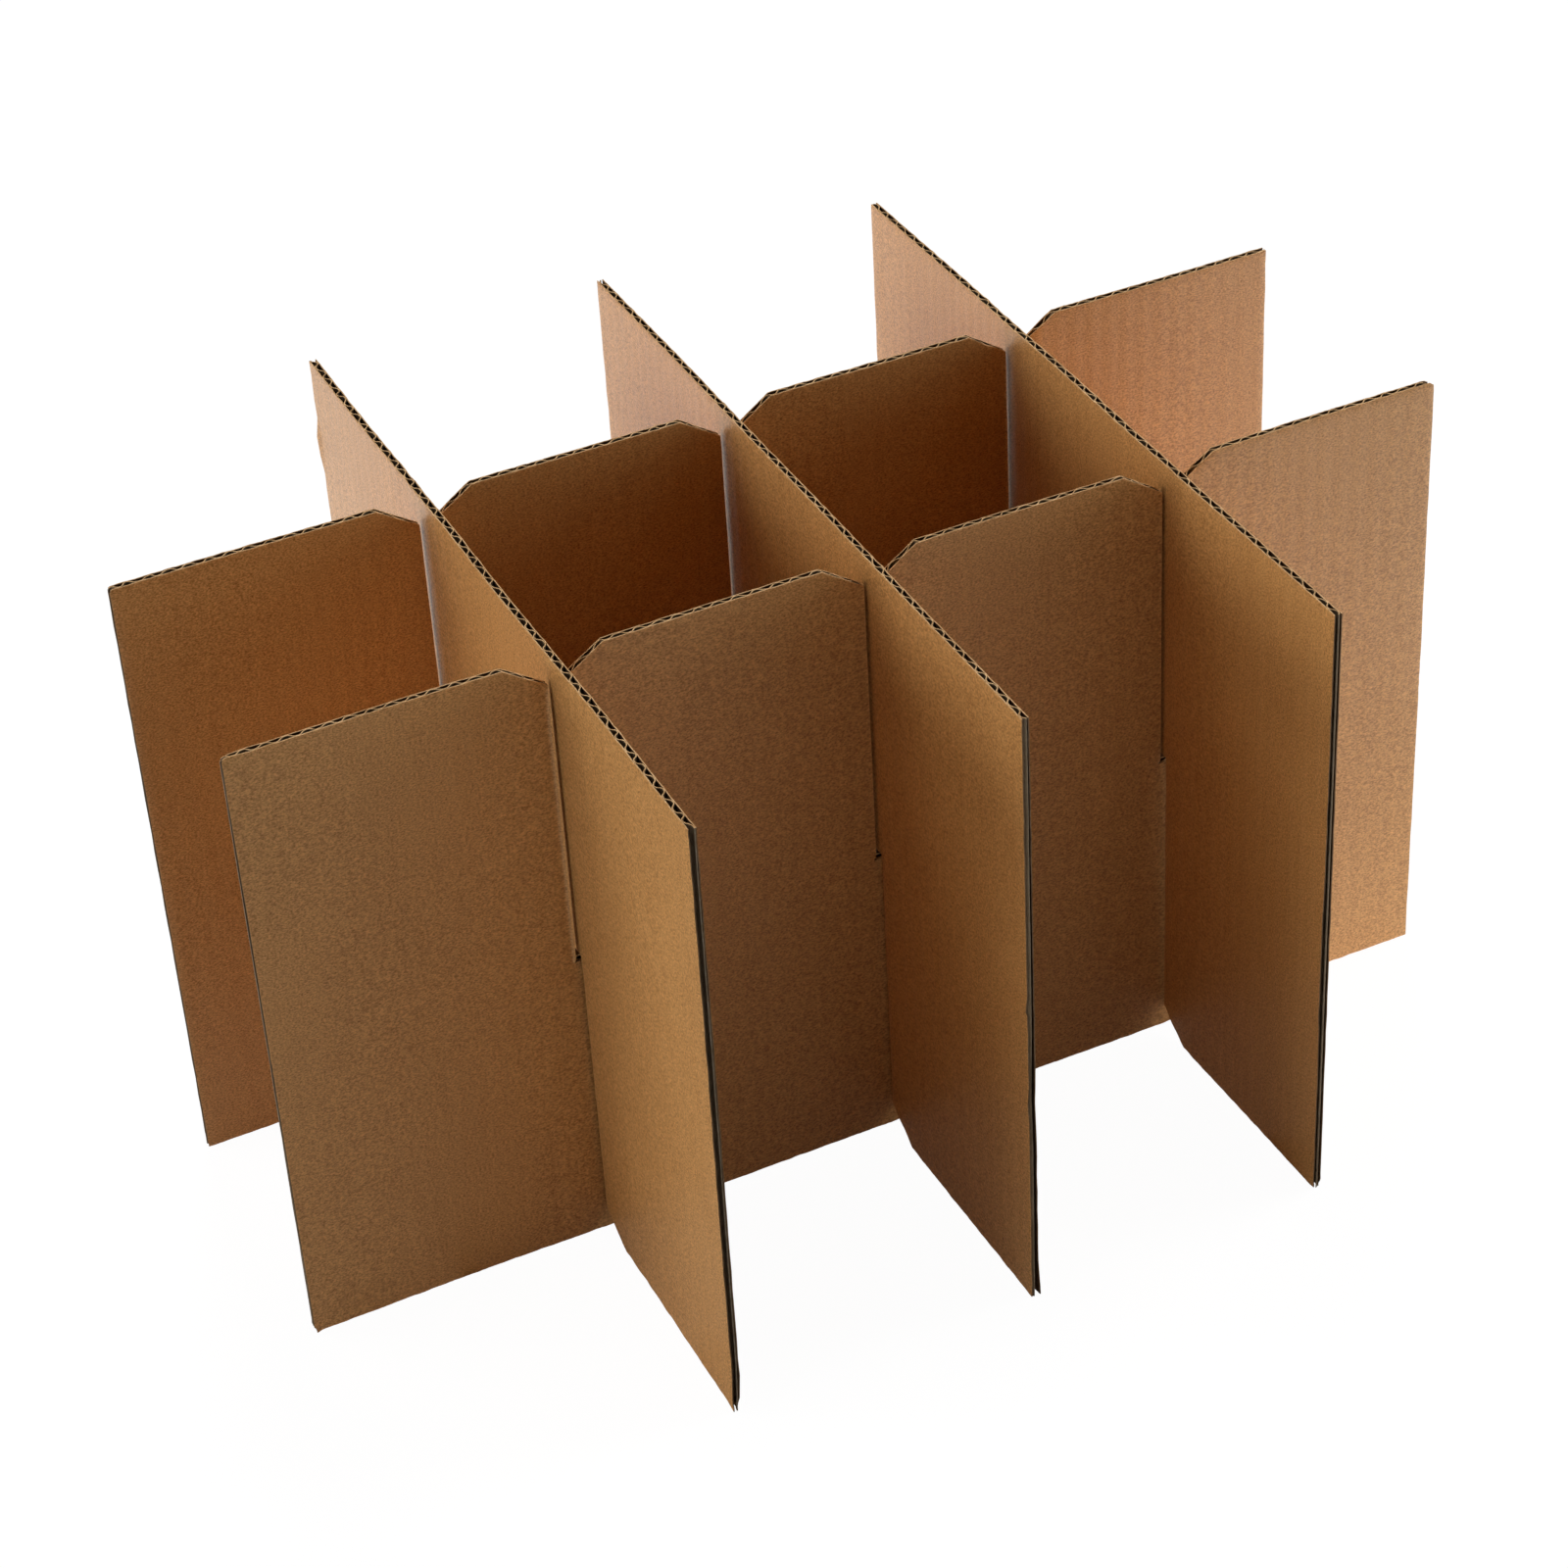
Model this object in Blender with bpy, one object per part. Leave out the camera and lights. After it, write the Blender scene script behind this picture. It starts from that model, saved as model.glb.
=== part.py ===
"""Twelve-cell carton divider: five strips of corrugated board, half-lapped at right angles.

Two long strips run along X and three cross strips run along Y. Each strip is single-wall
board: a liner, a fluted medium and a second liner. The long strips are slotted from the top
and the cross strips from the bottom, so that they stand at the same height. Origin: the
middle of the footprint, on the surface that the divider stands on. +Z is up.
"""
from math import pi

import bmesh
import bpy

# Driving dimensions, in metres.
HEIGHT = 0.220
CELL_LENGTH = 0.1024
CELL_DEPTH = 0.0994
LEFT_END = 0.1012
RIGHT_END = 0.0958
CROSS_END = 0.0962

# The board: three plies, with a small gap to the glued crests of the medium.
BOARD = 0.0029
LINER = 0.00022
MEDIUM = 0.00018
PLY_GAP = 0.0003
FLUTE_PITCH = 0.0064
CREST_SHARE = 0.16

# The half-lap slots, wider than the board so that a strip slides in and can turn a little.
SLOT_WIDTH = 0.0050
SLOT_DEPTH = 0.1112
MOUTH_WIDTH = 0.0316
MOUTH_DEPTH = 0.0090
DIE_OVERRUN = 0.002

# The middle and front crossings, from the middle of the footprint.
LONG_LENGTH = LEFT_END + 2 * CELL_LENGTH + RIGHT_END
MIDDLE_X = LEFT_END + CELL_LENGTH - LONG_LENGTH / 2
FRONT_Y = -CELL_DEPTH / 2
REAR_Y = CELL_DEPTH / 2

KRAFT_LINER = (0.43, 0.27, 0.145, 1.0)
KRAFT_MEDIUM = (0.30, 0.185, 0.10, 1.0)


def clear_scene():
    for obj in list(bpy.data.objects):
        bpy.data.objects.remove(obj, do_unlink=True)


def paper(name, colour):
    material = bpy.data.materials.new(name)
    material.use_nodes = True
    shader = material.node_tree.nodes["Principled BSDF"]
    shader.inputs["Base Color"].default_value = colour
    shader.inputs["Roughness"].default_value = 0.85
    shader.inputs["Metallic"].default_value = 0.0
    return material


def place(name, data, parent=None):
    obj = bpy.data.objects.new(name, data)
    bpy.context.scene.collection.objects.link(obj)
    obj.parent = parent
    return obj


def axis_empty(name, x, y, turn):
    """An upright axis that the plies of one strip hang on."""
    empty = place(name, None)
    empty.location = (x, y, 0)
    empty.rotation_euler = (0, 0, turn)
    return empty


def straight_run(start, end):
    return [(start, 0.0), (end, 0.0)]


def fluted_run(start, end):
    """A trapezoid wave with a whole number of flutes, which starts and ends on a crest."""
    rise = BOARD / 2 - LINER - PLY_GAP - MEDIUM / 2
    flutes = round((end - start) / FLUTE_PITCH)
    pitch = (end - start) / flutes
    corners = ((CREST_SHARE / 2, rise), (0.5 - CREST_SHARE / 2, -rise),
               (0.5 + CREST_SHARE / 2, -rise), (1 - CREST_SHARE / 2, rise))
    run = [(start, rise)]
    for flute in range(flutes):
        run += [(start + (flute + share) * pitch, y) for share, y in corners]
    return run + [(end, rise)]


def upright_sheet(name, run):
    """The run's line along the strip, extruded up to the full height."""
    bm = bmesh.new()
    foot = [bm.verts.new((x, y, 0)) for x, y in run]
    edges = [bm.edges.new(pair) for pair in zip(foot, foot[1:])]
    risen = bmesh.ops.extrude_edge_only(bm, edges=edges)["geom"]
    top = [v for v in risen if isinstance(v, bmesh.types.BMVert)]
    bmesh.ops.translate(bm, verts=top, vec=(0, 0, HEIGHT))
    bmesh.ops.recalc_face_normals(bm, faces=bm.faces)
    mesh = bpy.data.meshes.new(name)
    bm.to_mesh(mesh)
    bm.free()
    return mesh


def slot_profile(centre, opens_up):
    """A straight slot with a flared mouth, as (x, z) corners on the face of the strip."""
    flare = (MOUTH_WIDTH - SLOT_WIDTH) / 2 / MOUTH_DEPTH
    wide = MOUTH_WIDTH / 2 + DIE_OVERRUN * flare
    half = SLOT_WIDTH / 2
    corners = [(-half, HEIGHT - SLOT_DEPTH), (half, HEIGHT - SLOT_DEPTH),
               (half, HEIGHT - MOUTH_DEPTH), (wide, HEIGHT + DIE_OVERRUN),
               (-wide, HEIGHT + DIE_OVERRUN), (-half, HEIGHT - MOUTH_DEPTH)]
    if opens_up:
        return [(centre + x, z) for x, z in corners]
    return [(centre + x, HEIGHT - z) for x, z in corners]


def slot_die(name, centres, opens_up, parent):
    """The cutter of one strip: a prism through the board for each slot."""
    bm = bmesh.new()
    for centre in centres:
        corners = slot_profile(centre, opens_up)
        face = bm.faces.new([bm.verts.new((x, -BOARD, z)) for x, z in corners])
        pushed = bmesh.ops.extrude_face_region(bm, geom=[face])["geom"]
        far = [v for v in pushed if isinstance(v, bmesh.types.BMVert)]
        bmesh.ops.translate(bm, verts=far, vec=(0, 2 * BOARD, 0))
    bmesh.ops.recalc_face_normals(bm, faces=bm.faces)
    mesh = bpy.data.meshes.new(name)
    bm.to_mesh(mesh)
    bm.free()
    die = place(name, mesh, parent)
    die.hide_render = True
    die.display_type = "WIRE"
    return die


def ply(name, sheet, thickness, y, die, parent, material):
    """One ply of a strip: its sheet, thickened about its middle and die-cut."""
    obj = place(name, sheet, parent)
    obj.location = (0, y, 0)
    if not sheet.materials:
        sheet.materials.append(material)
    solid = obj.modifiers.new("thickness", "SOLIDIFY")
    solid.thickness = thickness
    solid.offset = 0
    solid.use_even_offset = True
    cut = obj.modifiers.new("slots", "BOOLEAN")
    cut.operation = "DIFFERENCE"
    cut.object = die
    return obj


def strip(name, parent, sheets, die, sides, materials):
    """Three plies about the strip's middle plane; sides are its -Y and +Y names."""
    liner_sheet, fluting_sheet = sheets
    liner_paper, medium_paper = materials
    offset = (BOARD - LINER) / 2
    for side, y in zip(sides, (-offset, offset)):
        ply(f"{name}_{side}_liner", liner_sheet, LINER, y, die, parent, liner_paper)
    ply(f"{name}_fluting", fluting_sheet, MEDIUM, 0, die, parent, medium_paper)


def long_strips(materials):
    start = -LEFT_END - CELL_LENGTH
    end = CELL_LENGTH + RIGHT_END
    sheets = (upright_sheet("long_liner", straight_run(start, end)),
              upright_sheet("long_fluting", fluted_run(start, end)))
    centres = (-CELL_LENGTH, 0, CELL_LENGTH)
    for place_name, y in (("front", FRONT_Y), ("rear", REAR_Y)):
        name = f"{place_name}_long_strip"
        axis = axis_empty(f"{name}_axis", MIDDLE_X, y, 0)
        die = slot_die(f"{name}_die", centres, True, axis)
        strip(name, axis, sheets, die, ("front", "rear"), materials)


def cross_strips(materials):
    start = -CROSS_END
    end = CELL_DEPTH + CROSS_END
    sheets = (upright_sheet("cross_liner", straight_run(start, end)),
              upright_sheet("cross_fluting", fluted_run(start, end)))
    centres = (0, CELL_DEPTH)
    for step, place_name in enumerate(("left", "middle", "right")):
        name = f"{place_name}_cross_strip"
        x = MIDDLE_X + (step - 1) * CELL_LENGTH
        axis = axis_empty(f"{name}_axis", x, FRONT_Y, pi / 2)
        die = slot_die(f"{name}_die", centres, False, axis)
        strip(name, axis, sheets, die, ("right", "left"), materials)


clear_scene()
PAPERS = (paper("kraft_liner", KRAFT_LINER), paper("kraft_medium", KRAFT_MEDIUM))
long_strips(PAPERS)
cross_strips(PAPERS)
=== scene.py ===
"""Looks of the twelve-cell carton divider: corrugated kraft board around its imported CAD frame.

Each ply of each strip is built again as real paper: liners with ragged cut edges, a crushed rim
and a faint washboard relief, and a round-waved fluting between them. A strip is worked out in its
own coordinates: s along the strip, n across the board and z up. Metres throughout.
"""

from math import cos, pi, radians, sin

import bpy
import numpy as np
from mathutils import Matrix, Vector


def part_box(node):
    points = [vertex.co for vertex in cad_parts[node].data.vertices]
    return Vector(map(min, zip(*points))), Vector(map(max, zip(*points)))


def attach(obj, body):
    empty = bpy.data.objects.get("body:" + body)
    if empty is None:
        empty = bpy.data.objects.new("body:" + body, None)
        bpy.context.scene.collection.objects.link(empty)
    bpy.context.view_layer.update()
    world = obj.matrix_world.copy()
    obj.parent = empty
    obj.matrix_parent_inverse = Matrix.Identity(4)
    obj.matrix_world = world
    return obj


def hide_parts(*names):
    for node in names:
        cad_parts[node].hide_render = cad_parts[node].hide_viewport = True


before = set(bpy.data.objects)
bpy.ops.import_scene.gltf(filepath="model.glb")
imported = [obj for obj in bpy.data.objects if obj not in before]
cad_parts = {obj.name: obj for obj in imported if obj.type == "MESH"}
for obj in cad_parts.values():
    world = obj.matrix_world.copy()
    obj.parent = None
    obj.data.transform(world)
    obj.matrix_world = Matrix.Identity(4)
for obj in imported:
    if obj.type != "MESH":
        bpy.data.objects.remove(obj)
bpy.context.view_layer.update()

# The board and its slots, as in the CAD.
BOARD = 0.0029
SLOT_WIDTH = 0.0050
SLOT_DEPTH = 0.1112
MOUTH_WIDTH = 0.0316
MOUTH_DEPTH = 0.0090

# Paper: how thick each ply shows on a cut edge, and the shape of the flutes.
LINER = 0.00034
MEDIUM = 0.00034
FLUTE_PITCH = 0.0064
FLUTE_SQUARENESS = 1.4
WASHBOARD = 0.00005

# The mesh: columns per flute, row heights, and how they crowd beside a cut edge. A column that is
# closer than a share of a step to a crowded one, or to a slot's shoulder, is left out.
LINER_COLUMNS = 8
MEDIUM_COLUMNS = 14
LINER_ROW = 0.007
MEDIUM_ROW = 0.020
EDGE_STEPS = (0, 0.0002, 0.0005, 0.0009, 0.0014, 0.0021, 0.0032, 0.0050)
CLEAR_OF_CROWD = 0.45
CLEAR_OF_SHOULDER = 0.3
DECIMALS = 7

# Colours, as the share of red, green and blue light that each paper reflects; the cut and inside
# colours also hold painted light or shade, as said beside them.
KRAFT = (0.645, 0.324, 0.102)
# Level cut rims of the liners: paler cut paper, brightened with painted light as if lit from above.
LINER_CUT_AND_LIGHT = (0.94, 0.57, 0.26)
# Upright cut rims of the liners: painted shade, far darker than the same cut paper on a level rim.
LINER_CUT_SHADE = (0.24, 0.14, 0.065)
# Inside of a liner: the same kraft, painted dark as shade for the hollow between the plies.
LINER_INSIDE_SHADE = (0.11, 0.052, 0.020)
MEDIUM_BROWN = (0.28, 0.195, 0.110)
# Level cut rims of the fluting: paler cut paper with painted light from above.
MEDIUM_CUT_AND_LIGHT = (0.94, 0.57, 0.26)
MEDIUM_SIDE = (0.30, 0.23, 0.15)

# How strongly red, green and blue follow the tone: lighter spots of kraft paper are also paler.
PALING = (0.90, 1.15, 1.50)

# Roughness of a liner's face, of a fluting's face, of torn or glued paper, and of the stage.
LINER_ROUGHNESS = 0.45
MEDIUM_ROUGHNESS = 0.8
TORN_ROUGHNESS = 0.9
STAGE_ROUGHNESS = 0.9

# Grain of the liners: size of its blotches in metres, strength, stretch along x, y, z, and detail.
LINER_GRAIN = (
    (0.0700, 0.035, (1, 1, 1), 2.0),
    (0.0120, 0.020, (1, 1, 1), 2.0),
    (0.0013, 0.080, (1.3, 1.3, 0.8), 1.0),
    (0.0006, 0.420, (1.3, 1.3, 0.8), 1.0),
    (0.0030, 0.030, (1, 1, 14), 1.0),
)
# Tone of the flute lines and of the worn band beside a cut, and the specks: how many to a metre,
# which share of the noise they take and their tone.
FLUTE_LINE = 0.012
WORN_REACH = 0.0007
WORN_TONE = 0.10
SPECKS = 1100.0
SPECK_FROM, SPECK_TO = 0.77, 0.81
SPECK_TONE = -0.30

# The lamps: azimuth and elevation in degrees that their light comes from, and power. All of them
# look equally wide, in degrees, which softens their shadows.
LAMPS = (
    (157.5, 24, 1.25),
    (90, 48, 0.75),
    (247.5, 8, 0.74),
    (270, 8, 0.50),
    (225, 48, 0.39),
    (90, 8, 0.32),
    (45, 8, 0.31),
    (270, 48, 0.11),
    (292.5, 8, 0.11),
    (22.5, 8, 0.07),
)
LAMP_WIDTH = 30

# Light sheets on the ground: the azimuths and distances that they run between, and brightness.
SHEETS = (
    ("right", 45, 135, 0.33, 1.0, 1.77),
    ("right_near", 45, 135, 0.16, 0.33, 0.87),
    ("back", 135, 225, 0.33, 1.0, 1.26),
    ("left_near", 225, 315, 0.16, 0.33, 0.14),
    ("under", 0, 360, 0.001, 0.16, 0.07),
)

# The stage: the ground lights the board, and the floor above it is only for the camera.
STAGE_REACH = 6.0
GROUND_HEIGHT = -0.0010
SHEET_HEIGHT = -0.0008
FLOOR_HEIGHT = -0.0004
GROUND_WHITE = 0.85
FLOOR_WHITE = 0.10
FLOOR_GLOW = 0.97

# What the die does to the board beside its cuts. Crush is the share of thickness lost, with its
# spread, limits and reach. Rag is how deep the rim is torn, its reach, and the reach of the strip's
# ends. A curled lip has a reach into the board and fades at the slot's foot and mouth.
CRUSH = 0.13
CRUSH_SPREAD = 0.05
CRUSH_LIMITS = (0.02, 0.35)
CRUSH_REACH = 0.0011
RAG = 0.00010
RAG_REACH = 0.0005
END_REACH = 0.003
CURL_REACH = 0.0013
CURL_FOOT_FADE = 0.0008
CURL_MOUTH_FADE = 0.006

# How far a strip bows between its crossings, and how unevenly the flutes stand.
BOW = 0.00030
CALM_REACH = 0.014
UNEVEN = 0.35
UNEVEN_LENGTH = 0.013
UNEVEN_REACH = 0.004

# Added to a strip's seed, so that its crush and its bow are the same for all three plies.
CRUSH_SEED = 50
BOW_SEED = 70

# The faces of a sheet, in the order of its papers.
OUTER, LEVEL_RIM, UPRIGHT_RIM, INNER = range(4)
SHARP_EDGE = radians(35)


class Strip:
    """One strip of board: where it stands, its slots and its own random numbers."""

    def __init__(self, name, sides, seed, phase, slant, dents=(), curls=()):
        self.name = name
        self.sides = sides
        self.opens_up = "long" in name
        low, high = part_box(f"{name}_fluting")
        line = 0 if self.opens_up else 1
        self.turn = 0 if self.opens_up else pi / 2
        self.start, self.end = low[line], high[line]
        self.height = high.z
        across = (low[1 - line] + high[1 - line]) / 2
        self.place = Vector((0, across, 0)) if self.opens_up else Vector((across, 0, 0))
        self.crossings = crossings(line)
        self.phase = phase
        self.slant = slant
        self.seed = seed
        self.dents = dents
        self.curls = curls
        self.random = np.random.default_rng(seed)

    def matrix(self):
        return Matrix.Translation(self.place) @ Matrix.Rotation(self.turn, 4, "Z")

    def flip(self, z):
        """Heights in a strip whose slots open upwards; the cross strips are that, upside down."""
        return z if self.opens_up else self.height - z


def crossings(line):
    """Where the other strips cross, along X (line 0) or Y (line 1)."""
    cross, long = ("left_cross", "middle_cross", "right_cross"), ("front_long", "rear_long")
    others = cross if line == 0 else long
    boxes = [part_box(f"{other}_strip_fluting") for other in others]
    return [(low[line] + high[line]) / 2 for low, high in boxes]


def ripple(x, length, random, waves=7):
    """A smooth random line through x, about 1 high, whose bumps are about length long."""
    total = np.zeros_like(x, dtype=float)
    for _ in range(waves):
        total += np.sin(2 * pi * (x * random.uniform(0.5, 1.7) / length + random.uniform()))
    return total / waves ** 0.5


def crowded(start, end, step, marks):
    """Even steps from start to end, with closer ones beside each mark."""
    near = [mark + side * gap for mark in marks for gap in EDGE_STEPS for side in (-1, 1)]
    near = np.array(near)
    near = near[(near > start - 1e-9) & (near < end + 1e-9)]
    even = np.linspace(start, end, round((end - start) / step) + 1)
    clear = [value for value in even if np.abs(near - value).min() > CLEAR_OF_CROWD * step]
    return np.unique(np.round(np.concatenate([clear, near]), DECIMALS))


def sheet_grid(strip, step, row):
    """The die-cut sheet as a grid: s, z, its quads and each point's distance to a cut."""
    half, wide = SLOT_WIDTH / 2, MOUTH_WIDTH / 2
    foot = strip.height - SLOT_DEPTH
    slot_sides = [c + side * half for c in strip.crossings for side in (-1, 1)]
    shoulders = [c + side * wide for c in strip.crossings for side in (-1, 1)]
    columns = crowded(strip.start, strip.end, step, [strip.start, strip.end] + slot_sides)
    gap = CLEAR_OF_SHOULDER * step
    far = [x for x in columns if min(abs(x - shoulder) for shoulder in shoulders) > gap]
    columns = np.unique(np.round(np.concatenate([far, shoulders]), DECIMALS))
    rows = crowded(0, strip.height, row, [0, foot, strip.height])
    s, z = np.meshgrid(columns, rows, indexing="ij")
    away = np.min([np.abs(s - c) for c in strip.crossings], axis=0)
    top = strip.height - MOUTH_DEPTH * np.clip((wide - away) / (wide - half), 0, 1)
    upper = z > foot
    z = np.where(upper, foot + (z - foot) * (top - foot) / (strip.height - foot), z)
    outside = np.maximum(away - half, 0)
    slot = np.where(upper, outside, np.hypot(outside, foot - z))
    cut = np.min([z, top - z, s - strip.start, strip.end - s, slot], axis=0)
    centre_s = (columns[1:] + columns[:-1]) / 2
    centre_z = (rows[1:] + rows[:-1]) / 2
    in_slot = np.min([np.abs(centre_s - c) for c in strip.crossings], axis=0) < half
    kept = ~(in_slot[:, None] & (centre_z > foot)[None, :])
    index = np.arange(s.size).reshape(s.shape)
    corners = index[:-1, :-1], index[1:, :-1], index[1:, 1:], index[:-1, 1:]
    return s, strip.flip(z), np.stack(corners, axis=-1)[kept], np.maximum(cut, 0)


def boundary(quads):
    """The directed edges that belong to one quad only."""
    edges = np.concatenate([quads[:, [a, (a + 1) % 4]] for a in range(4)])
    wide = int(edges.max()) + 1
    forward = edges[:, 0] * wide + edges[:, 1]
    backward = edges[:, 1] * wide + edges[:, 0]
    return edges[~np.isin(forward, backward)]


def sheet_object(name, outer, inner, quads, papers, strip, attributes):
    """A closed sheet between two surfaces over one grid.

    Its papers are those of its outer face, its level rim, its upright rim and, if it has a fourth,
    its inner face.
    """
    count = len(outer)
    rim = boundary(quads)
    first, beside, _, above = outer[quads[0]]
    normal = np.cross(beside - first, above - first)
    outward = normal @ (first - inner[quads[0, 0]]) > 0
    rim_quads = np.stack([rim[:, 1], rim[:, 0], rim[:, 0] + count, rim[:, 1] + count], axis=-1)
    faces = np.concatenate([quads, quads[:, ::-1] + count, rim_quads])
    if not outward:
        faces = faces[:, ::-1]
    used = np.unique(faces)
    renumber = np.zeros(2 * count, dtype=int)
    renumber[used] = np.arange(len(used))
    mesh = bpy.data.meshes.new(name)
    mesh.from_pydata(np.concatenate([outer, inner])[used].tolist(), [], renumber[faces].tolist())
    for paper in papers:
        mesh.materials.append(paper)
    slots = np.full(len(faces), OUTER, dtype=np.int32)
    slots[len(quads):] = INNER if len(papers) > INNER else OUTER
    run = np.abs(outer[rim[:, 1]] - outer[rim[:, 0]])
    # Level rims take the cut paper with painted light; upright rims take the upright cut paper,
    # which on a liner is painted shade.
    slots[2 * len(quads):] = np.where(run[:, 2] > run[:, 0], UPRIGHT_RIM, LEVEL_RIM)
    mesh.polygons.foreach_set("material_index", slots)
    for key, values in attributes.items():
        layer = mesh.attributes.new(key, "FLOAT", "POINT")
        layer.data.foreach_set("value", np.tile(values, 2)[used].astype(np.float32))
    mesh.transform(strip.matrix())
    mesh.shade_smooth()
    mesh.set_sharp_from_angle(angle=SHARP_EDGE)
    return linked(name, mesh)


def linked(name, data):
    obj = bpy.data.objects.new(name, data)
    bpy.context.scene.collection.objects.link(obj)
    return obj


def knocked(strip, ply, s, z):
    """Local damage: how far each point of a ply is pushed along s, n and z."""
    moves = np.zeros((3, *s.shape))
    for plies, at, reach, push in strip.dents:
        if ply in plies:
            shape = np.exp(-((s - at[0]) / reach[0]) ** 2 - ((z - at[1]) / reach[1]) ** 4)
            moves += shape * np.reshape(push, (3, 1, 1))
    return moves


def curled(strip, ply, s, z):
    """The edge of a slot that bends out of the board: a push along s and one across the board."""
    foot = strip.height - SLOT_DEPTH
    push_s, push_n = np.zeros_like(s), np.zeros_like(s)
    for curl_ply, crossing, side, back, out in strip.curls:
        if ply == curl_ply:
            edge = strip.crossings[crossing] + side * SLOT_WIDTH / 2
            near = np.clip(1 - side * (s - edge) / CURL_REACH, 0, 1) * (side * (s - edge) > -1e-6)
            open_end = np.clip((z - foot) / CURL_FOOT_FADE, 0, 1)
            mouth = np.clip((strip.height - MOUTH_DEPTH - z) / CURL_MOUTH_FADE, 0, 1)
            push_s += side * back * near ** 2 * open_end * mouth
            push_n += out * near ** 1.5 * open_end * mouth
    return push_s, push_n


def placed(strip, ply, s, n, z):
    """The ply's points in the strip's own coordinates, with its damage, inside the CAD's box."""
    push_s, push_n, push_z = knocked(strip, ply, s, z)
    curl_s, curl_n = curled(strip, ply, s, z)
    push_s, push_n = push_s + curl_s, push_n + curl_n
    s = np.clip(s + push_s, strip.start, strip.end)
    z = np.clip(z + push_z, 0, strip.height)
    return np.stack([s, n + push_n, z], axis=-1).reshape(-1, 3)


def flute_phase(strip, s, z):
    return 2 * pi * (s - strip.start + strip.slant * z) / FLUTE_PITCH + strip.phase


def crush(strip, s, z, cut):
    """The share of its thickness that the board has lost beside a cut."""
    random = np.random.default_rng(strip.seed + CRUSH_SEED)
    along = CRUSH + CRUSH_SPREAD * ripple(s, 0.012, random)
    along = along + CRUSH_SPREAD * ripple(z, 0.018, random)
    return np.clip(along, *CRUSH_LIMITS) * np.exp(-cut / CRUSH_REACH)


def bow(strip, s, z):
    """How far the whole board wanders from its plane: nothing at the crossings."""
    random = np.random.default_rng(strip.seed + BOW_SEED)
    calm = np.prod([1 - np.exp(-((s - c) / CALM_REACH) ** 2) for c in strip.crossings], axis=0)
    return BOW * calm * (ripple(s, 0.16, random) + 0.6 * ripple(z, 0.3, random)) / 1.6


def ragged(strip, s, z, cut, random):
    """Small moves of the rim along s and z, always back into the sheet."""
    fade = np.exp(-cut / RAG_REACH)
    back_s = RAG * (0.6 + 0.5 * ripple(z, 0.0045, random) + 0.3 * ripple(z, 0.02, random))
    back_z = RAG * (0.5 + 0.4 * ripple(s, 0.0030, random) + 0.3 * ripple(s, 0.011, random))
    middle_s = (strip.start + strip.end) / 2
    at_end = np.minimum(s - strip.start, strip.end - s) < END_REACH
    side = np.where(s > middle_s, -1, 1) * at_end
    lift = np.where(z > strip.height / 2, -1, 1)
    return fade * side * np.clip(back_s, 0, None), fade * lift * np.clip(back_z, 0, None)


def liner(strip, side, sign, papers):
    s, z, quads, cut = sheet_grid(strip, FLUTE_PITCH / LINER_COLUMNS, LINER_ROW)
    crest = 0.5 + 0.5 * sign * np.sin(flute_phase(strip, s, z))
    depth = BOARD / 2 * (1 - crush(strip, s, z, cut)) - WASHBOARD * (1 - crest)
    ds, dz = ragged(strip, s, z, cut, strip.random)
    lean = bow(strip, s, z)
    surfaces = []
    for surface_depth in (depth, depth - LINER):
        surfaces.append(placed(strip, side, s + ds, lean + sign * surface_depth, z + dz))
    node = f"{strip.name}_{side}_liner"
    piece = sheet_object(node + "_paper", *surfaces, quads, papers, strip,
                         {"cut": cut.ravel(), "crest": crest.ravel()})
    finish_piece(piece, strip, node)


def fluting(strip, papers):
    s, z, quads, cut = sheet_grid(strip, FLUTE_PITCH / MEDIUM_COLUMNS, MEDIUM_ROW)
    uneven = UNEVEN * ripple(s, UNEVEN_LENGTH, strip.random)
    near = np.exp(-np.minimum(z, strip.height - z) / UNEVEN_REACH)
    phase = flute_phase(strip, s, z) + uneven * (0.4 + 0.6 * near)
    wave = np.tanh(FLUTE_SQUARENESS * np.sin(phase)) / np.tanh(FLUTE_SQUARENESS)
    rise = BOARD / 2 * (1 - crush(strip, s, z, cut)) - LINER - MEDIUM / 2
    slope = np.gradient(wave, s[:, 0], axis=0) * rise
    length = np.hypot(1, slope)
    ds, dz = ragged(strip, s, z, cut, strip.random)
    lean = bow(strip, s, z)
    surfaces = []
    for way in (1, -1):
        offset = way * MEDIUM / 2
        surfaces.append(placed(strip, "fluting", s + ds - offset * slope / length,
                               lean + rise * wave + offset / length, z + dz))
    node = f"{strip.name}_fluting"
    piece = sheet_object(node + "_paper", *surfaces, quads, papers, strip, {"cut": cut.ravel()})
    finish_piece(piece, strip, node)


def finish_piece(piece, strip, node):
    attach(piece, strip.name)
    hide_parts(node)


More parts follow.
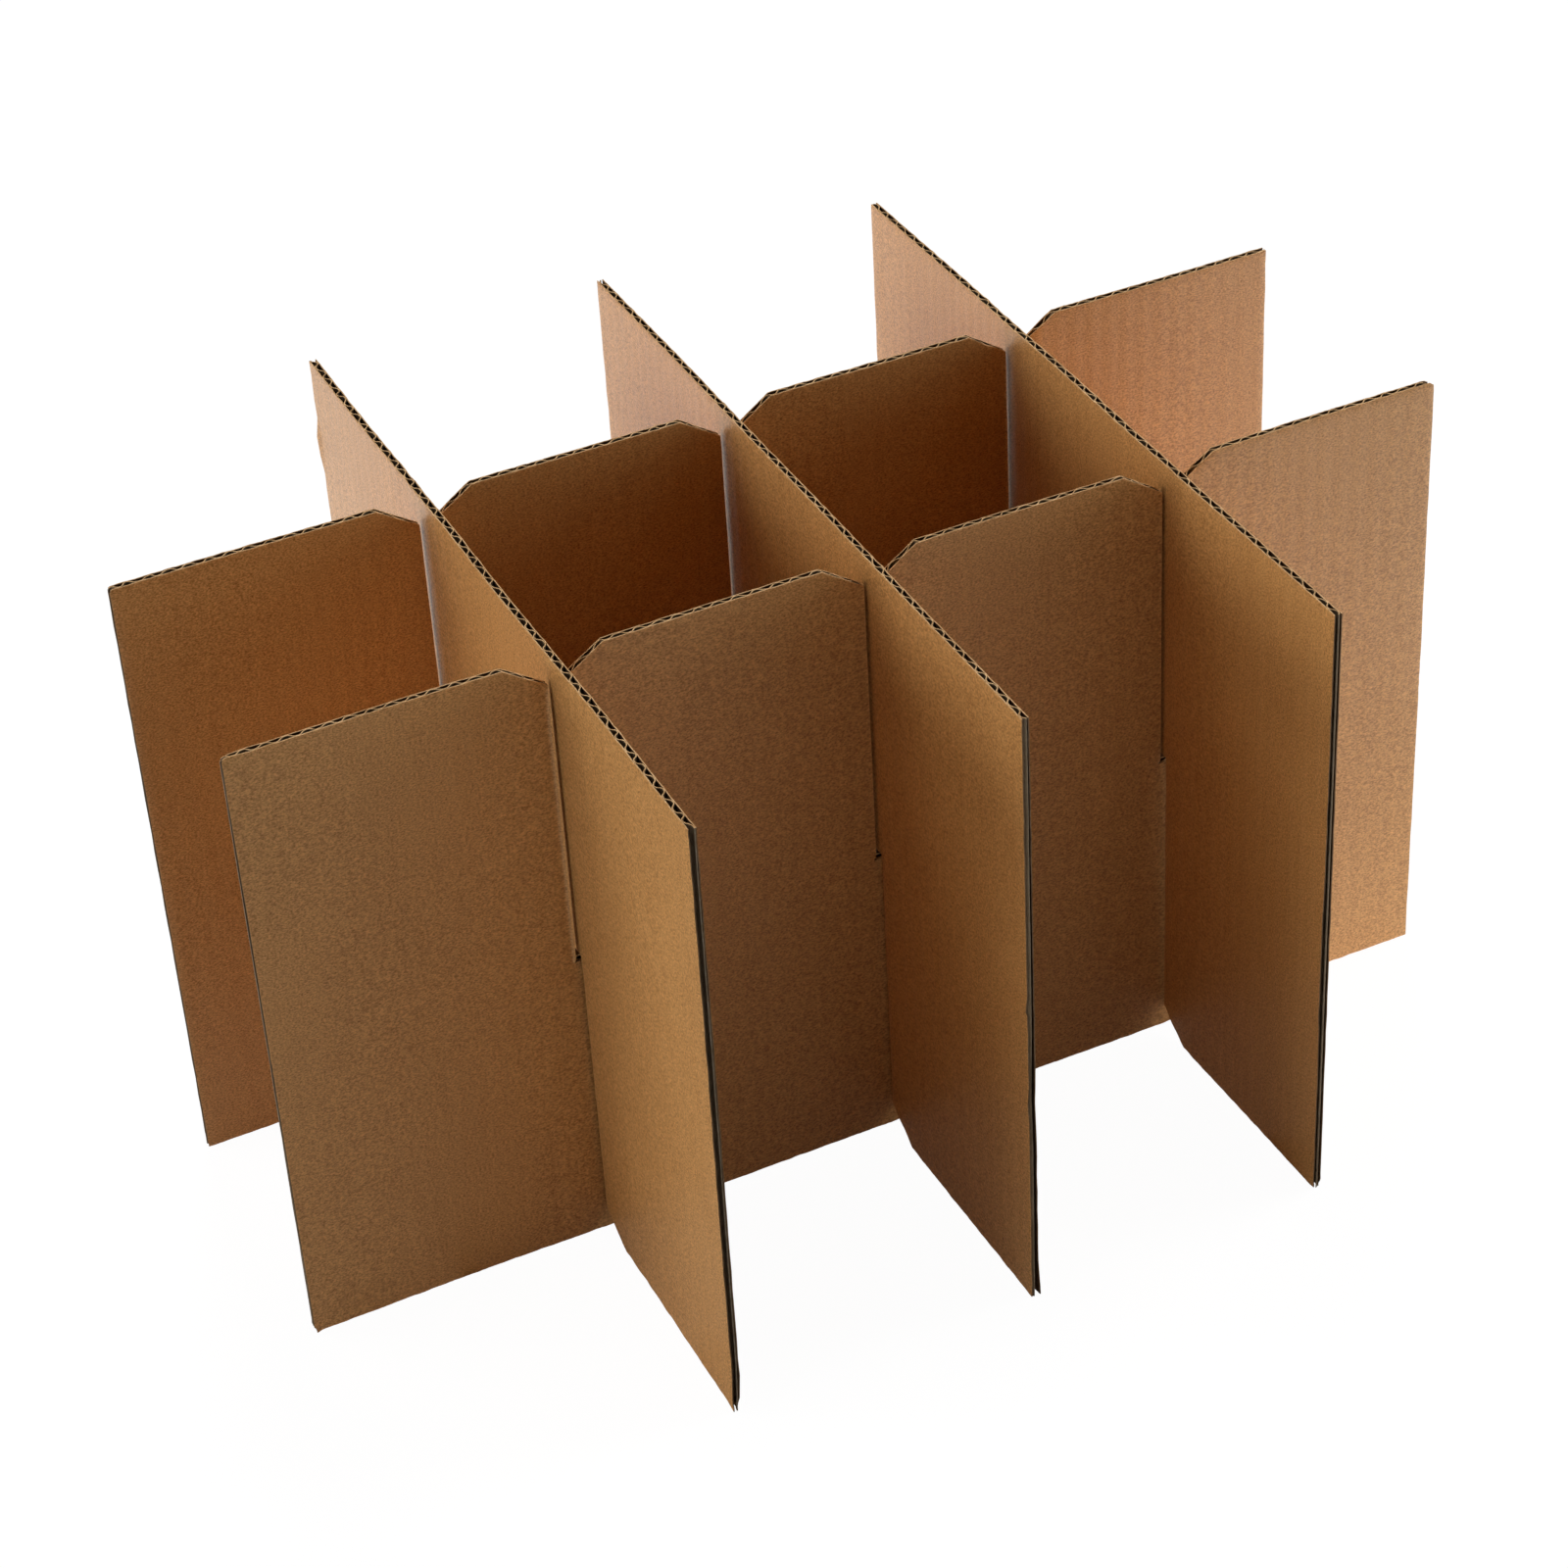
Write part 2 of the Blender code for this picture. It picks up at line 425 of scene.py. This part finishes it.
class Shader:
    """A procedural material, put together from small node steps."""

    def __init__(self, name, roughness):
        self.material = bpy.data.materials.new(name)
        self.material.use_nodes = True
        self.tree = self.material.node_tree
        self.surface = self.tree.nodes["Principled BSDF"]
        self.surface.inputs["Roughness"].default_value = roughness
        self.place = self.step("ShaderNodeTexCoord", output="Object")

    def step(self, kind, output=0, settings=None, **inputs):
        """One node: its settings, then its inputs as values or as other steps' outputs.

        An input goes by its name, with _ for a space, or by its number after an _.
        """
        node = self.tree.nodes.new(kind)
        for key, value in (settings or {}).items():
            setattr(node, key, value)
        for key, value in inputs.items():
            socket = node.inputs[int(key[1:]) if key[1:].isdigit() else key.replace("_", " ")]
            if isinstance(value, bpy.types.NodeSocket):
                self.tree.links.new(value, socket)
            else:
                socket.default_value = value
        return node.outputs[output]

    def attribute(self, name):
        """A number that the mesh keeps at each of its points."""
        return self.step("ShaderNodeAttribute", output="Fac", settings={"attribute_name": name})

    def sum(self, a, b):
        return self.step("ShaderNodeMath", settings={"operation": "ADD"}, _0=a, _1=b)

    def share(self, value, low, high, to_low, to_high):
        """The value's range from low to high, as a range from to_low to to_high."""
        return self.step("ShaderNodeMapRange", _0=value, _1=low, _2=high, _3=to_low, _4=to_high)

    def noise(self, size, height, stretch=(1, 1, 1), detail=2.0):
        """Noise about zero, as high and low as height, with blotches of a size in metres."""
        place = self.step("ShaderNodeMapping", settings={"vector_type": "POINT"},
                          Vector=self.place, Scale=tuple(1 / (size * k) for k in stretch))
        noise = self.step("ShaderNodeTexNoise", Vector=place, Scale=1.0, Detail=detail,
                          Roughness=0.6)
        return self.share(noise, 0.25, 0.75, -height, height)

    def colour(self, base, tone, spread=0.5):
        """The base colour, made darker or lighter as the tone goes from -spread to +spread."""
        dark = (*(value * (1 - spread * share) for value, share in zip(base, PALING)), 1)
        light = (*(value * (1 + spread * share) for value, share in zip(base, PALING)), 1)
        factor = self.share(tone, -spread, spread, 0, 1)
        mixed = self.step("ShaderNodeMix", output=2, settings={"data_type": "RGBA"},
                          _0=factor, _6=dark, _7=light)
        self.tree.links.new(mixed, self.surface.inputs["Base Color"])

    def bump(self, height, distance, strength=1.0):
        bump = self.step("ShaderNodeBump", Height=height, Distance=distance, Strength=strength)
        self.tree.links.new(bump, self.surface.inputs["Normal"])


def liner_face():
    """Brown linerboard: clouds, mottling, upright fibres, dark specks and faint flute lines."""
    paper = Shader("liner_face", LINER_ROUGHNESS)
    tone = paper.noise(*LINER_GRAIN[0])
    for grain in LINER_GRAIN[1:]:
        tone = paper.sum(tone, paper.noise(*grain))
    tone = paper.sum(tone, paper.share(paper.attribute("crest"), 0, 1, -FLUTE_LINE, FLUTE_LINE))
    tone = paper.sum(tone, paper.share(paper.attribute("cut"), 0, WORN_REACH, WORN_TONE, 0))
    speck = paper.step("ShaderNodeTexNoise", Vector=paper.place, Scale=SPECKS, Detail=0.0)
    tone = paper.sum(tone, paper.share(speck, SPECK_FROM, SPECK_TO, 0, SPECK_TONE))
    paper.colour(KRAFT, tone)
    fine, coarse = paper.noise(0.0004, 1, (1, 1, 0.5)), paper.noise(0.0016, 1, (1.5, 1.5, 0.4))
    paper.bump(paper.sum(fine, coarse), 0.00003, 0.25)
    return paper.material


def cut_edge(name, base):
    """The rim where the die went through: torn fibres with darker spots of pressed paper, on level
    rims over paler cut paper with painted light from above, on a liner's upright rims over painted
    shade.
    """
    paper = Shader(name, TORN_ROUGHNESS)
    tone = paper.sum(paper.noise(0.0012, 0.30), paper.noise(0.009, 0.22))
    paper.colour(base, paper.sum(tone, paper.noise(0.0003, 0.25)))
    paper.bump(paper.noise(0.0003, 1), 0.00005, 0.7)
    return paper.material


def painted_shade_inside():
    """The side of a liner that the fluting is glued to: the same paper, painted dark as shade for
    the hollow between the plies.
    """
    paper = Shader("liner_inside_painted_shade", TORN_ROUGHNESS)
    paper.colour(LINER_INSIDE_SHADE, paper.noise(0.0015, 0.20))
    return paper.material


def medium_face():
    """Greyer recycled fluting paper, with coarse mottling."""
    paper = Shader("medium_face", MEDIUM_ROUGHNESS)
    tone = paper.sum(paper.noise(0.0010, 0.12), paper.noise(0.012, 0.16))
    paper.colour(MEDIUM_BROWN, paper.sum(tone, paper.noise(0.0004, 0.10, (0.5, 0.5, 2.0))))
    paper.bump(paper.noise(0.0005, 1), 0.00004, 0.6)
    return paper.material


def stage_paper(name, strength, bounce):
    """Plain matte white: how strongly it shines, and how much light it throws back."""
    stage = Shader(name, STAGE_ROUGHNESS)
    stage.surface.inputs["Base Color"].default_value = (bounce, bounce, bounce, 1)
    stage.surface.inputs["Specular IOR Level"].default_value = 0.0
    stage.surface.inputs["Emission Color"].default_value = (1, 1, 1, 1)
    stage.surface.inputs["Emission Strength"].default_value = strength
    return stage.material


LINER_PAPERS = [
    liner_face(),
    # Level cut rim: paler cut paper with painted light; upright cut rim: painted shade.
    cut_edge("liner_level_cut_and_light", LINER_CUT_AND_LIGHT),
    cut_edge("liner_upright_cut_shade", LINER_CUT_SHADE),
    # Inside of a liner: painted shade.
    painted_shade_inside(),
]
MEDIUM_PAPERS = [
    medium_face(),
    # Level cut rim: paler cut paper with painted light from above.
    cut_edge("medium_level_cut_and_light", MEDIUM_CUT_AND_LIGHT),
    cut_edge("medium_upright_cut", MEDIUM_SIDE),
]

# Knocks on each strip: the plies they move, their place (s, z), reach (s, z) and push (s, n, z).
# Curled slot lips: the ply, the crossing, the side of the slot, and the push back and out.
ALL = ("front", "rear", "left", "right", "fluting")
FRONT_DENTS = (
    (ALL, (-0.2009, 0.2200), (0.0012, 0.0012), (0.0004, -0.00020, -0.0005)),
    (("front",), (-0.2009, 0.2200), (0.0028, 0.0022), (0, 0.00080, 0)),
    (("rear",), (-0.2009, 0.2200), (0.0020, 0.0018), (0.0004, -0.00050, -0.0003)),
    (("front",), (-0.2009, 0.0000), (0.0014, 0.0016), (0.0004, -0.00060, 0.0001)),
    (("rear", "fluting"), (-0.2009, 0.0000), (0.0012, 0.0012), (0.0003, 0, 0.0002)),
    (("front",), (-0.2009, 0.1395), (0.0008, 0.0010), (0.0006, -0.00040, 0)),
    (("rear",), (0.2009, 0.2200), (0.0016, 0.0016), (-0.0012, 0, -0.0006)),
    (("fluting",), (0.2009, 0.2200), (0.0022, 0.0018), (-0.0008, 0, -0.0006)),
    (("front",), (0.2009, 0.2200), (0.0010, 0.0010), (-0.0002, 0, -0.0009)),
    (("front",), (-0.1022, 0.1088), (0.0009, 0.0009), (-0.0009, 0.00010, -0.0007)),
    (("front",), (0.0002, 0.1088), (0.0009, 0.0009), (-0.0008, 0.00010, -0.0006)),
    (("front",), (0.1026, 0.1088), (0.0009, 0.0009), (-0.0006, 0.00010, -0.0005)),
)
FRONT_CURLS = (("front", 0, -1, 0.0004, -0.00105), ("fluting", 0, -1, 0.0012, 0.0))
REAR_DENTS = (
    (("front", "fluting"), (0.0960, 0.2165), (0.0030, 0.0020), (0, 0.00030, -0.0005)),
    (ALL, (-0.2009, 0.2200), (0.0008, 0.0008), (0.0003, 0, -0.0003)),
)
REAR_CURLS = (("front", 2, -1, 0.0003, -0.00060), ("fluting", 2, -1, 0.0010, 0.0))
LEFT_DENTS = (
    (("left",), (-0.1459, 0.1646), (0.0008, 0.0008), (0.0006, 0.00050, 0)),
    (ALL, (-0.1459, 0.0000), (0.0034, 0.0060), (0, 0.00090, 0)),
    (("left",), (-0.1459, 0.0000), (0.0030, 0.0040), (0, -0.00055, 0)),
    (("right",), (-0.1459, 0.0000), (0.0030, 0.0040), (0, 0.00055, 0)),
    (("left", "fluting"), (0.1459, 0.1890), (0.0020, 0.0060), (0, 0.00090, 0)),
    (("left",), (0.1459, 0.1890), (0.0015, 0.0015), (-0.0012, 0, 0)),
)
MIDDLE_DENTS = (
    (("left",), (-0.1459, 0.0340), (0.0020, 0.0040), (0.0004, -0.00030, 0)),
    (("right",), (-0.1459, 0.0020), (0.0030, 0.0050), (0, -0.00060, 0)),
    (("left",), (-0.1459, 0.1150), (0.0012, 0.0015), (0.0005, 0.00030, 0)),
    (ALL, (-0.1459, 0.0780), (0.0025, 0.0060), (0.0004, 0.00015, 0)),
)
RIGHT_DENTS = (
    (("left",), (-0.1459, 0.0000), (0.0020, 0.0020), (0.0004, -0.00040, 0)),
    (("right",), (-0.1459, 0.0000), (0.0020, 0.0020), (0.0004, 0.00040, 0)),
    (("left",), (-0.1459, 0.0900), (0.0012, 0.0300), (0.0003, 0.00020, 0)),
)

# Each strip: its name, the names of its -n and +n sides, its seed, the phase of its first flute,
# how much its flutes lean, and its damage.
STRIPS = [
    Strip("front_long_strip", ("front", "rear"), 11, 0.4, 0.003, FRONT_DENTS, FRONT_CURLS),
    Strip("rear_long_strip", ("front", "rear"), 12, 2.1, -0.002, REAR_DENTS, REAR_CURLS),
    Strip("left_cross_strip", ("right", "left"), 13, 3.3, 0.002, LEFT_DENTS),
    Strip("middle_cross_strip", ("right", "left"), 14, 0.2, -0.003, MIDDLE_DENTS),
    Strip("right_cross_strip", ("right", "left"), 15, 3.0, 0.001, RIGHT_DENTS),
]
for strip in STRIPS:
    for side, sign in zip(strip.sides, (-1, 1)):
        liner(strip, side, sign, LINER_PAPERS)
    fluting(strip, MEDIUM_PAPERS)

# The camera: where it looks from, in degrees and metres, about a point near the divider's middle.
AZIMUTH, ELEVATION, ROLL = -23.984, 36.117, -3.573
DISTANCE = 1.2849
LENS_MM = 91.517625
SENSOR_MM = 36
CLIP_START = 0.05
AIM = Vector((-0.0054, 0.0036, 0.1054))


def direction(azimuth, elevation):
    """Towards a place in the sky: azimuth 0 is the front, and 90 is the right."""
    a, e = radians(azimuth), radians(elevation)
    return Vector((sin(a) * cos(e), -cos(a) * cos(e), sin(e)))


def camera():
    back = direction(AZIMUTH, ELEVATION)
    data = bpy.data.cameras.new("camera")
    data.lens = LENS_MM
    data.sensor_width = SENSOR_MM
    data.clip_start = CLIP_START
    obj = linked("camera", data)
    place = Matrix.Translation(AIM + back * DISTANCE)
    turn = (-back).to_track_quat("-Z", "Y").to_matrix().to_4x4()
    obj.matrix_world = place @ turn @ Matrix.Rotation(radians(ROLL), 4, "Z")
    bpy.context.scene.camera = obj


def stage_object(material, corners, faces, hidden_from):
    """A flat part of the stage, named after its material, that some kinds of rays don't see."""
    mesh = bpy.data.meshes.new(material.name)
    mesh.from_pydata(corners, [], faces)
    mesh.materials.append(material)
    obj = linked(material.name, mesh)
    for rays in hidden_from:
        setattr(obj, f"visible_{rays}", False)


def stage_plane(height, material, hidden_from):
    square = ((-1, -1), (1, -1), (1, 1), (-1, 1))
    corners = [(x * STAGE_REACH, y * STAGE_REACH, height) for x, y in square]
    stage_object(material, corners, [(0, 1, 2, 3)], hidden_from)


def light_sheet(start, end, near, far, material, steps=12):
    """A flat piece of a ring on the ground, from one azimuth to another."""
    turns = [radians(start + (end - start) * step / steps) for step in range(steps + 1)]
    corners = [(sin(turn) * reach, -cos(turn) * reach, SHEET_HEIGHT)
               for reach in (near, far) for turn in turns]
    faces = [(k, k + 1, k + steps + 2, k + steps + 1) for k in range(steps)]
    stage_object(material, corners, faces, ("camera",))


def studio():
    """Soft lamps, a pale ground that throws light up, and a white paper floor for the camera."""
    for azimuth, elevation, power in LAMPS:
        data = bpy.data.lights.new(f"lamp_{azimuth:g}_{elevation}", "SUN")
        data.energy = power
        data.angle = radians(LAMP_WIDTH)
        lamp = linked(data.name, data)
        lamp.rotation_euler = direction(azimuth, elevation).to_track_quat("Z", "Y").to_euler()
    stage_plane(GROUND_HEIGHT, stage_paper("ground", 0.0, GROUND_WHITE), ("camera",))
    for name, start, end, near, far, strength in SHEETS:
        light_sheet(start, end, near, far, stage_paper(f"sheet_{name}", strength, GROUND_WHITE))
    stage_plane(FLOOR_HEIGHT, stage_paper("paper_floor", FLOOR_GLOW, FLOOR_WHITE),
                ("diffuse", "glossy", "transmission", "shadow"))
    world = bpy.data.worlds.new("world")
    bpy.context.scene.world = world
    world.use_nodes = True
    world.node_tree.nodes["Background"].inputs["Color"].default_value = (1, 1, 1, 1)
    for rays in ("diffuse", "glossy", "transmission", "scatter"):
        setattr(world.cycles_visibility, rays, False)
    bpy.context.scene.view_settings.view_transform = "Standard"


camera()
studio()
